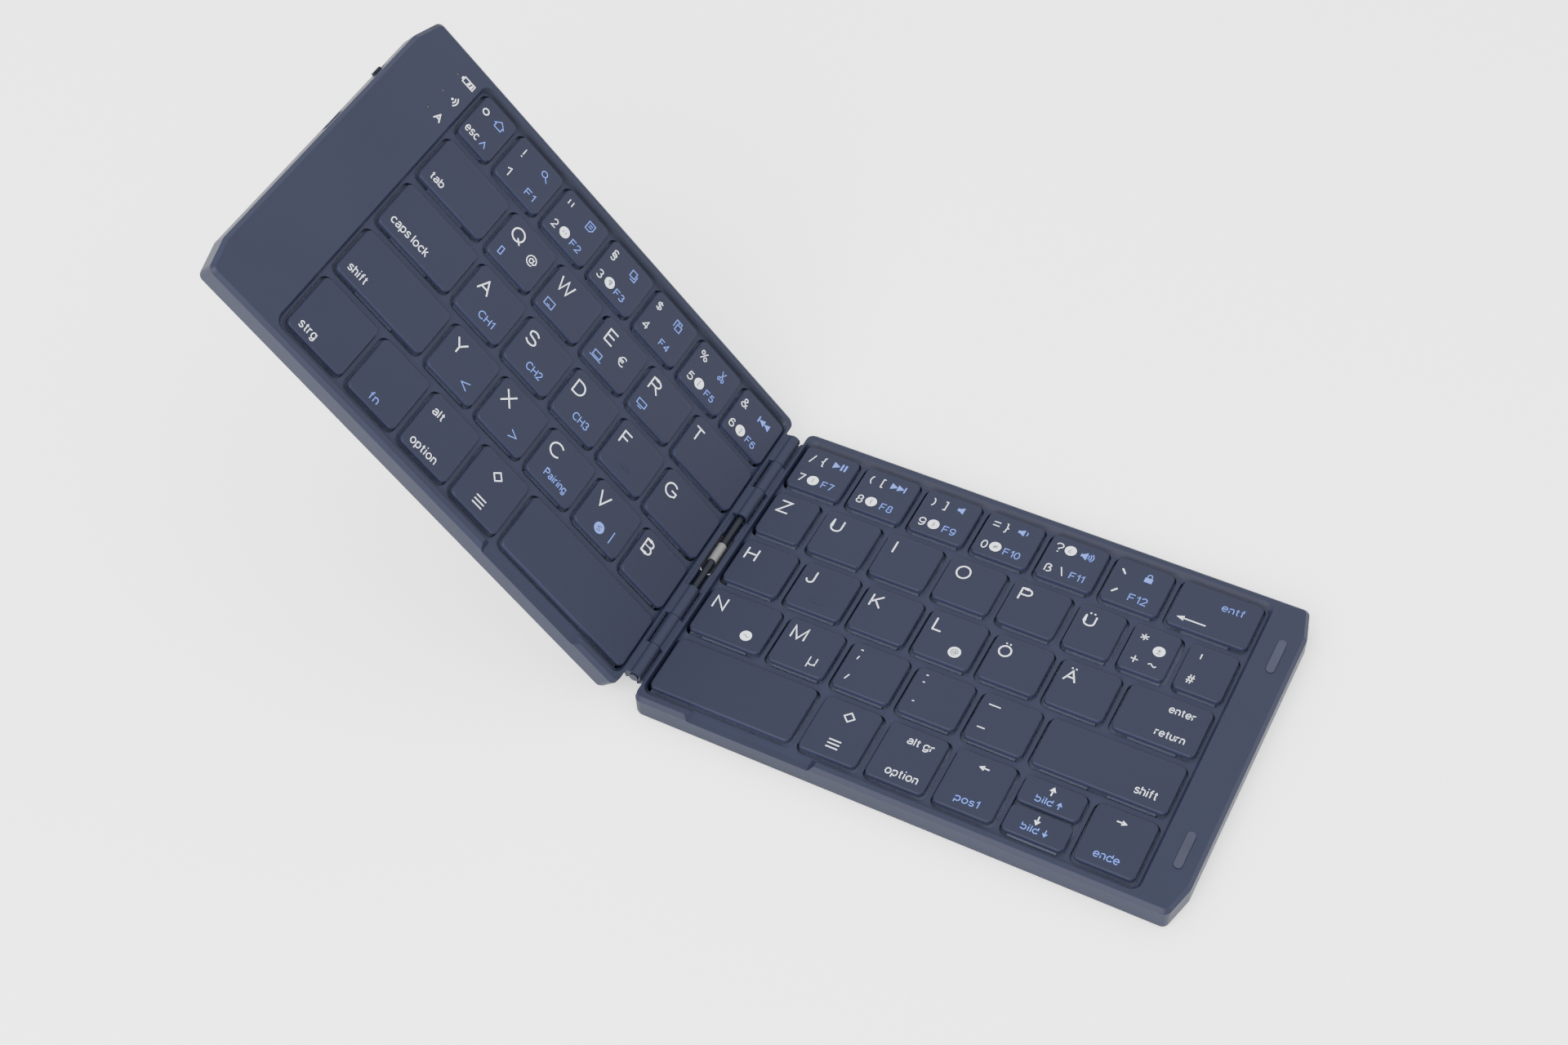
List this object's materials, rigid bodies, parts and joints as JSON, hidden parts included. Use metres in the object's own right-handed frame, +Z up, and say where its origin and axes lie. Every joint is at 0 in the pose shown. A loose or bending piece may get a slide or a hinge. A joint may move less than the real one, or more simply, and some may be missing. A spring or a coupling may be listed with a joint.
{
  "type": "folding keyboard",
  "caption": "Folding keyboard with hinged halves, low key caps on scissor links over rubber domes, a centre pin hinge, a power slider and a charging socket.",
  "frame": {"origin": "on the desk, below the middle of the whole part as stored, with the right half flat and the left half raised", "axes": "+X runs to the right across the keyboard, +Y to its rear, +Z up; the hinge line runs along Y"},
  "size_m": [0.2508, 0.0984, 0.1149],
  "materials": {
    "case": "satin, fine grain",
    "key": "satin, very fine grain",
    "cover": "matte, fine grain",
    "bumper": "matte",
    "foot": "matte",
    "steel_plate": "rolled",
    "sheet": "clear film with printed tracks",
    "links": "moulded",
    "dome": "smooth",
    "screw": "blackened",
    "magnet": "plated",
    "battery": "foil pouch",
    "pin": "ground",
    "rod": "satin",
    "collar": "satin",
    "flex": "thin film",
    "board": "coated",
    "socket": "plated",
    "housing": "moulded",
    "slider": "ribbed",
    "lens": "clear"
  },
  "bodies": {
    "right_half": {"right_bottom_cover": "cover", "right_top_frame": "case", "right_key_plate": "steel_plate", "right_switch_sheet": "sheet", "right_scissor_links": "links", "right_rubber_domes": "dome", "right_foot_strips": "foot", "right_case_screws": "screw", "right_bumpers": "bumper", "right_magnets": "magnet", "battery": "battery", "hinge_pins": "pin", "hinge_rod": "rod", "hinge_collar": "collar", "flex_cable": "flex"},
    "left_half": {"left_bottom_cover": "cover", "left_top_frame": "case", "left_key_plate": "steel_plate", "left_switch_sheet": "sheet", "left_scissor_links": "links", "left_rubber_domes": "dome", "left_foot_strips": "foot", "left_case_screws": "screw", "left_magnets": "magnet", "controller_board": "board", "charging_socket": "socket", "switch_housing": "housing", "indicator_lenses": "lens"},
    "power_slider": {"power_slider": "slider"},
    "right_number_keys": {"right_number_keys": "key"},
    "right_upper_letter_keys": {"right_upper_letter_keys": "key"},
    "right_home_letter_keys": {"right_home_letter_keys": "key"},
    "right_lower_letter_keys": {"right_lower_letter_keys": "key"},
    "n_key": {"n_key": "key"},
    "j_key": {"j_key": "key"},
    "backspace_key": {"backspace_key": "key"},
    "enter_key": {"enter_key": "key"},
    "right_shift_key": {"right_shift_key": "key"},
    "right_space_key": {"right_space_key": "key"},
    "right_command_key": {"right_command_key": "key"},
    "right_alt_key": {"right_alt_key": "key"},
    "arrow_left_key": {"arrow_left_key": "key"},
    "arrow_up_key": {"arrow_up_key": "key"},
    "arrow_down_key": {"arrow_down_key": "key"},
    "arrow_right_key": {"arrow_right_key": "key"},
    "left_number_keys": {"left_number_keys": "key"},
    "left_upper_letter_keys": {"left_upper_letter_keys": "key"},
    "left_home_letter_keys": {"left_home_letter_keys": "key"},
    "left_lower_letter_keys": {"left_lower_letter_keys": "key"},
    "t_key": {"t_key": "key"},
    "f_key": {"f_key": "key"},
    "escape_key": {"escape_key": "key"},
    "tab_key": {"tab_key": "key"},
    "caps_lock_key": {"caps_lock_key": "key"},
    "left_shift_key": {"left_shift_key": "key"},
    "control_key": {"control_key": "key"},
    "function_key": {"function_key": "key"},
    "left_alt_key": {"left_alt_key": "key"},
    "left_command_key": {"left_command_key": "key"},
    "left_space_key": {"left_space_key": "key"}
  },
  "joints": [
    {"name": "fold", "type": "hinge", "parent": "right_half", "child": "left_half", "pos_m": [-0.02112, 0, 0.008], "axis": [0, 1, 0], "range_deg": [-47.5, 132.5], "deforming": ["flex_cable"]},
    {"name": "right_number_press", "type": "slide", "parent": "right_half", "child": "right_number_keys", "axis": [0, 0, 1], "range_m": [-0.0015, 0], "stiffness_N_per_m": 300, "springref_m": 0.0004, "deforming": ["right_scissor_links", "right_rubber_domes"]},
    {"name": "right_upper_letter_press", "type": "slide", "parent": "right_half", "child": "right_upper_letter_keys", "axis": [0, 0, 1], "range_m": [-0.0015, 0], "stiffness_N_per_m": 300, "springref_m": 0.0004, "deforming": ["right_scissor_links", "right_rubber_domes"]},
    {"name": "right_home_letter_press", "type": "slide", "parent": "right_half", "child": "right_home_letter_keys", "axis": [0, 0, 1], "range_m": [-0.0015, 0], "stiffness_N_per_m": 300, "springref_m": 0.0004, "deforming": ["right_scissor_links", "right_rubber_domes"]},
    {"name": "right_lower_letter_press", "type": "slide", "parent": "right_half", "child": "right_lower_letter_keys", "axis": [0, 0, 1], "range_m": [-0.0015, 0], "stiffness_N_per_m": 300, "springref_m": 0.0004, "deforming": ["right_scissor_links", "right_rubber_domes"]},
    {"name": "n_press", "type": "slide", "parent": "right_half", "child": "n_key", "axis": [0, 0, 1], "range_m": [-0.0015, 0], "stiffness_N_per_m": 300, "springref_m": 0.0004, "deforming": ["right_scissor_links", "right_rubber_domes"]},
    {"name": "j_press", "type": "slide", "parent": "right_half", "child": "j_key", "axis": [0, 0, 1], "range_m": [-0.0015, 0], "stiffness_N_per_m": 300, "springref_m": 0.0004, "deforming": ["right_scissor_links", "right_rubber_domes"]},
    {"name": "backspace_press", "type": "slide", "parent": "right_half", "child": "backspace_key", "axis": [0, 0, 1], "range_m": [-0.0015, 0], "stiffness_N_per_m": 300, "springref_m": 0.0004, "deforming": ["right_scissor_links", "right_rubber_domes"]},
    {"name": "enter_press", "type": "slide", "parent": "right_half", "child": "enter_key", "axis": [0, 0, 1], "range_m": [-0.0015, 0], "stiffness_N_per_m": 300, "springref_m": 0.0004, "deforming": ["right_scissor_links", "right_rubber_domes"]},
    {"name": "right_shift_press", "type": "slide", "parent": "right_half", "child": "right_shift_key", "axis": [0, 0, 1], "range_m": [-0.0015, 0], "stiffness_N_per_m": 300, "springref_m": 0.0004, "deforming": ["right_scissor_links", "right_rubber_domes"]},
    {"name": "right_space_press", "type": "slide", "parent": "right_half", "child": "right_space_key", "axis": [0, 0, 1], "range_m": [-0.0015, 0], "stiffness_N_per_m": 300, "springref_m": 0.0004, "deforming": ["right_scissor_links", "right_rubber_domes"]},
    {"name": "right_command_press", "type": "slide", "parent": "right_half", "child": "right_command_key", "axis": [0, 0, 1], "range_m": [-0.0015, 0], "stiffness_N_per_m": 300, "springref_m": 0.0004, "deforming": ["right_scissor_links", "right_rubber_domes"]},
    {"name": "right_alt_press", "type": "slide", "parent": "right_half", "child": "right_alt_key", "axis": [0, 0, 1], "range_m": [-0.0015, 0], "stiffness_N_per_m": 300, "springref_m": 0.0004, "deforming": ["right_scissor_links", "right_rubber_domes"]},
    {"name": "arrow_left_press", "type": "slide", "parent": "right_half", "child": "arrow_left_key", "axis": [0, 0, 1], "range_m": [-0.0015, 0], "stiffness_N_per_m": 300, "springref_m": 0.0004, "deforming": ["right_scissor_links", "right_rubber_domes"]},
    {"name": "arrow_up_press", "type": "slide", "parent": "right_half", "child": "arrow_up_key", "axis": [0, 0, 1], "range_m": [-0.0015, 0], "stiffness_N_per_m": 300, "springref_m": 0.0004, "deforming": ["right_scissor_links", "right_rubber_domes"]},
    {"name": "arrow_down_press", "type": "slide", "parent": "right_half", "child": "arrow_down_key", "axis": [0, 0, 1], "range_m": [-0.0015, 0], "stiffness_N_per_m": 300, "springref_m": 0.0004, "deforming": ["right_scissor_links", "right_rubber_domes"]},
    {"name": "arrow_right_press", "type": "slide", "parent": "right_half", "child": "arrow_right_key", "axis": [0, 0, 1], "range_m": [-0.0015, 0], "stiffness_N_per_m": 300, "springref_m": 0.0004, "deforming": ["right_scissor_links", "right_rubber_domes"]},
    {"name": "left_number_press", "type": "slide", "parent": "left_half", "child": "left_number_keys", "axis": [0.7373, 0, 0.6756], "range_m": [-0.0015, 0], "stiffness_N_per_m": 300, "springref_m": 0.0004, "deforming": ["left_scissor_links", "left_rubber_domes"]},
    {"name": "left_upper_letter_press", "type": "slide", "parent": "left_half", "child": "left_upper_letter_keys", "axis": [0.7373, 0, 0.6756], "range_m": [-0.0015, 0], "stiffness_N_per_m": 300, "springref_m": 0.0004, "deforming": ["left_scissor_links", "left_rubber_domes"]},
    {"name": "left_home_letter_press", "type": "slide", "parent": "left_half", "child": "left_home_letter_keys", "axis": [0.7373, 0, 0.6756], "range_m": [-0.0015, 0], "stiffness_N_per_m": 300, "springref_m": 0.0004, "deforming": ["left_scissor_links", "left_rubber_domes"]},
    {"name": "left_lower_letter_press", "type": "slide", "parent": "left_half", "child": "left_lower_letter_keys", "axis": [0.7373, 0, 0.6756], "range_m": [-0.0015, 0], "stiffness_N_per_m": 300, "springref_m": 0.0004, "deforming": ["left_scissor_links", "left_rubber_domes"]},
    {"name": "t_press", "type": "slide", "parent": "left_half", "child": "t_key", "axis": [0.7373, 0, 0.6756], "range_m": [-0.0015, 0], "stiffness_N_per_m": 300, "springref_m": 0.0004, "deforming": ["left_scissor_links", "left_rubber_domes"]},
    {"name": "f_press", "type": "slide", "parent": "left_half", "child": "f_key", "axis": [0.7373, 0, 0.6756], "range_m": [-0.0015, 0], "stiffness_N_per_m": 300, "springref_m": 0.0004, "deforming": ["left_scissor_links", "left_rubber_domes"]},
    {"name": "escape_press", "type": "slide", "parent": "left_half", "child": "escape_key", "axis": [0.7373, 0, 0.6756], "range_m": [-0.0015, 0], "stiffness_N_per_m": 300, "springref_m": 0.0004, "deforming": ["left_scissor_links", "left_rubber_domes"]},
    {"name": "tab_press", "type": "slide", "parent": "left_half", "child": "tab_key", "axis": [0.7373, 0, 0.6756], "range_m": [-0.0015, 0], "stiffness_N_per_m": 300, "springref_m": 0.0004, "deforming": ["left_scissor_links", "left_rubber_domes"]},
    {"name": "caps_lock_press", "type": "slide", "parent": "left_half", "child": "caps_lock_key", "axis": [0.7373, 0, 0.6756], "range_m": [-0.0015, 0], "stiffness_N_per_m": 300, "springref_m": 0.0004, "deforming": ["left_scissor_links", "left_rubber_domes"]},
    {"name": "left_shift_press", "type": "slide", "parent": "left_half", "child": "left_shift_key", "axis": [0.7373, 0, 0.6756], "range_m": [-0.0015, 0], "stiffness_N_per_m": 300, "springref_m": 0.0004, "deforming": ["left_scissor_links", "left_rubber_domes"]},
    {"name": "control_press", "type": "slide", "parent": "left_half", "child": "control_key", "axis": [0.7373, 0, 0.6756], "range_m": [-0.0015, 0], "stiffness_N_per_m": 300, "springref_m": 0.0004, "deforming": ["left_scissor_links", "left_rubber_domes"]},
    {"name": "function_press", "type": "slide", "parent": "left_half", "child": "function_key", "axis": [0.7373, 0, 0.6756], "range_m": [-0.0015, 0], "stiffness_N_per_m": 300, "springref_m": 0.0004, "deforming": ["left_scissor_links", "left_rubber_domes"]},
    {"name": "left_alt_press", "type": "slide", "parent": "left_half", "child": "left_alt_key", "axis": [0.7373, 0, 0.6756], "range_m": [-0.0015, 0], "stiffness_N_per_m": 300, "springref_m": 0.0004, "deforming": ["left_scissor_links", "left_rubber_domes"]},
    {"name": "left_command_press", "type": "slide", "parent": "left_half", "child": "left_command_key", "axis": [0.7373, 0, 0.6756], "range_m": [-0.0015, 0], "stiffness_N_per_m": 300, "springref_m": 0.0004, "deforming": ["left_scissor_links", "left_rubber_domes"]},
    {"name": "left_space_press", "type": "slide", "parent": "left_half", "child": "left_space_key", "axis": [0.7373, 0, 0.6756], "range_m": [-0.0015, 0], "stiffness_N_per_m": 300, "springref_m": 0.0004, "deforming": ["left_scissor_links", "left_rubber_domes"]},
    {"name": "power_switch", "type": "slide", "parent": "left_half", "child": "power_slider", "axis": [0, 1, 0], "range_m": [0, 0.0018]}
  ]
}
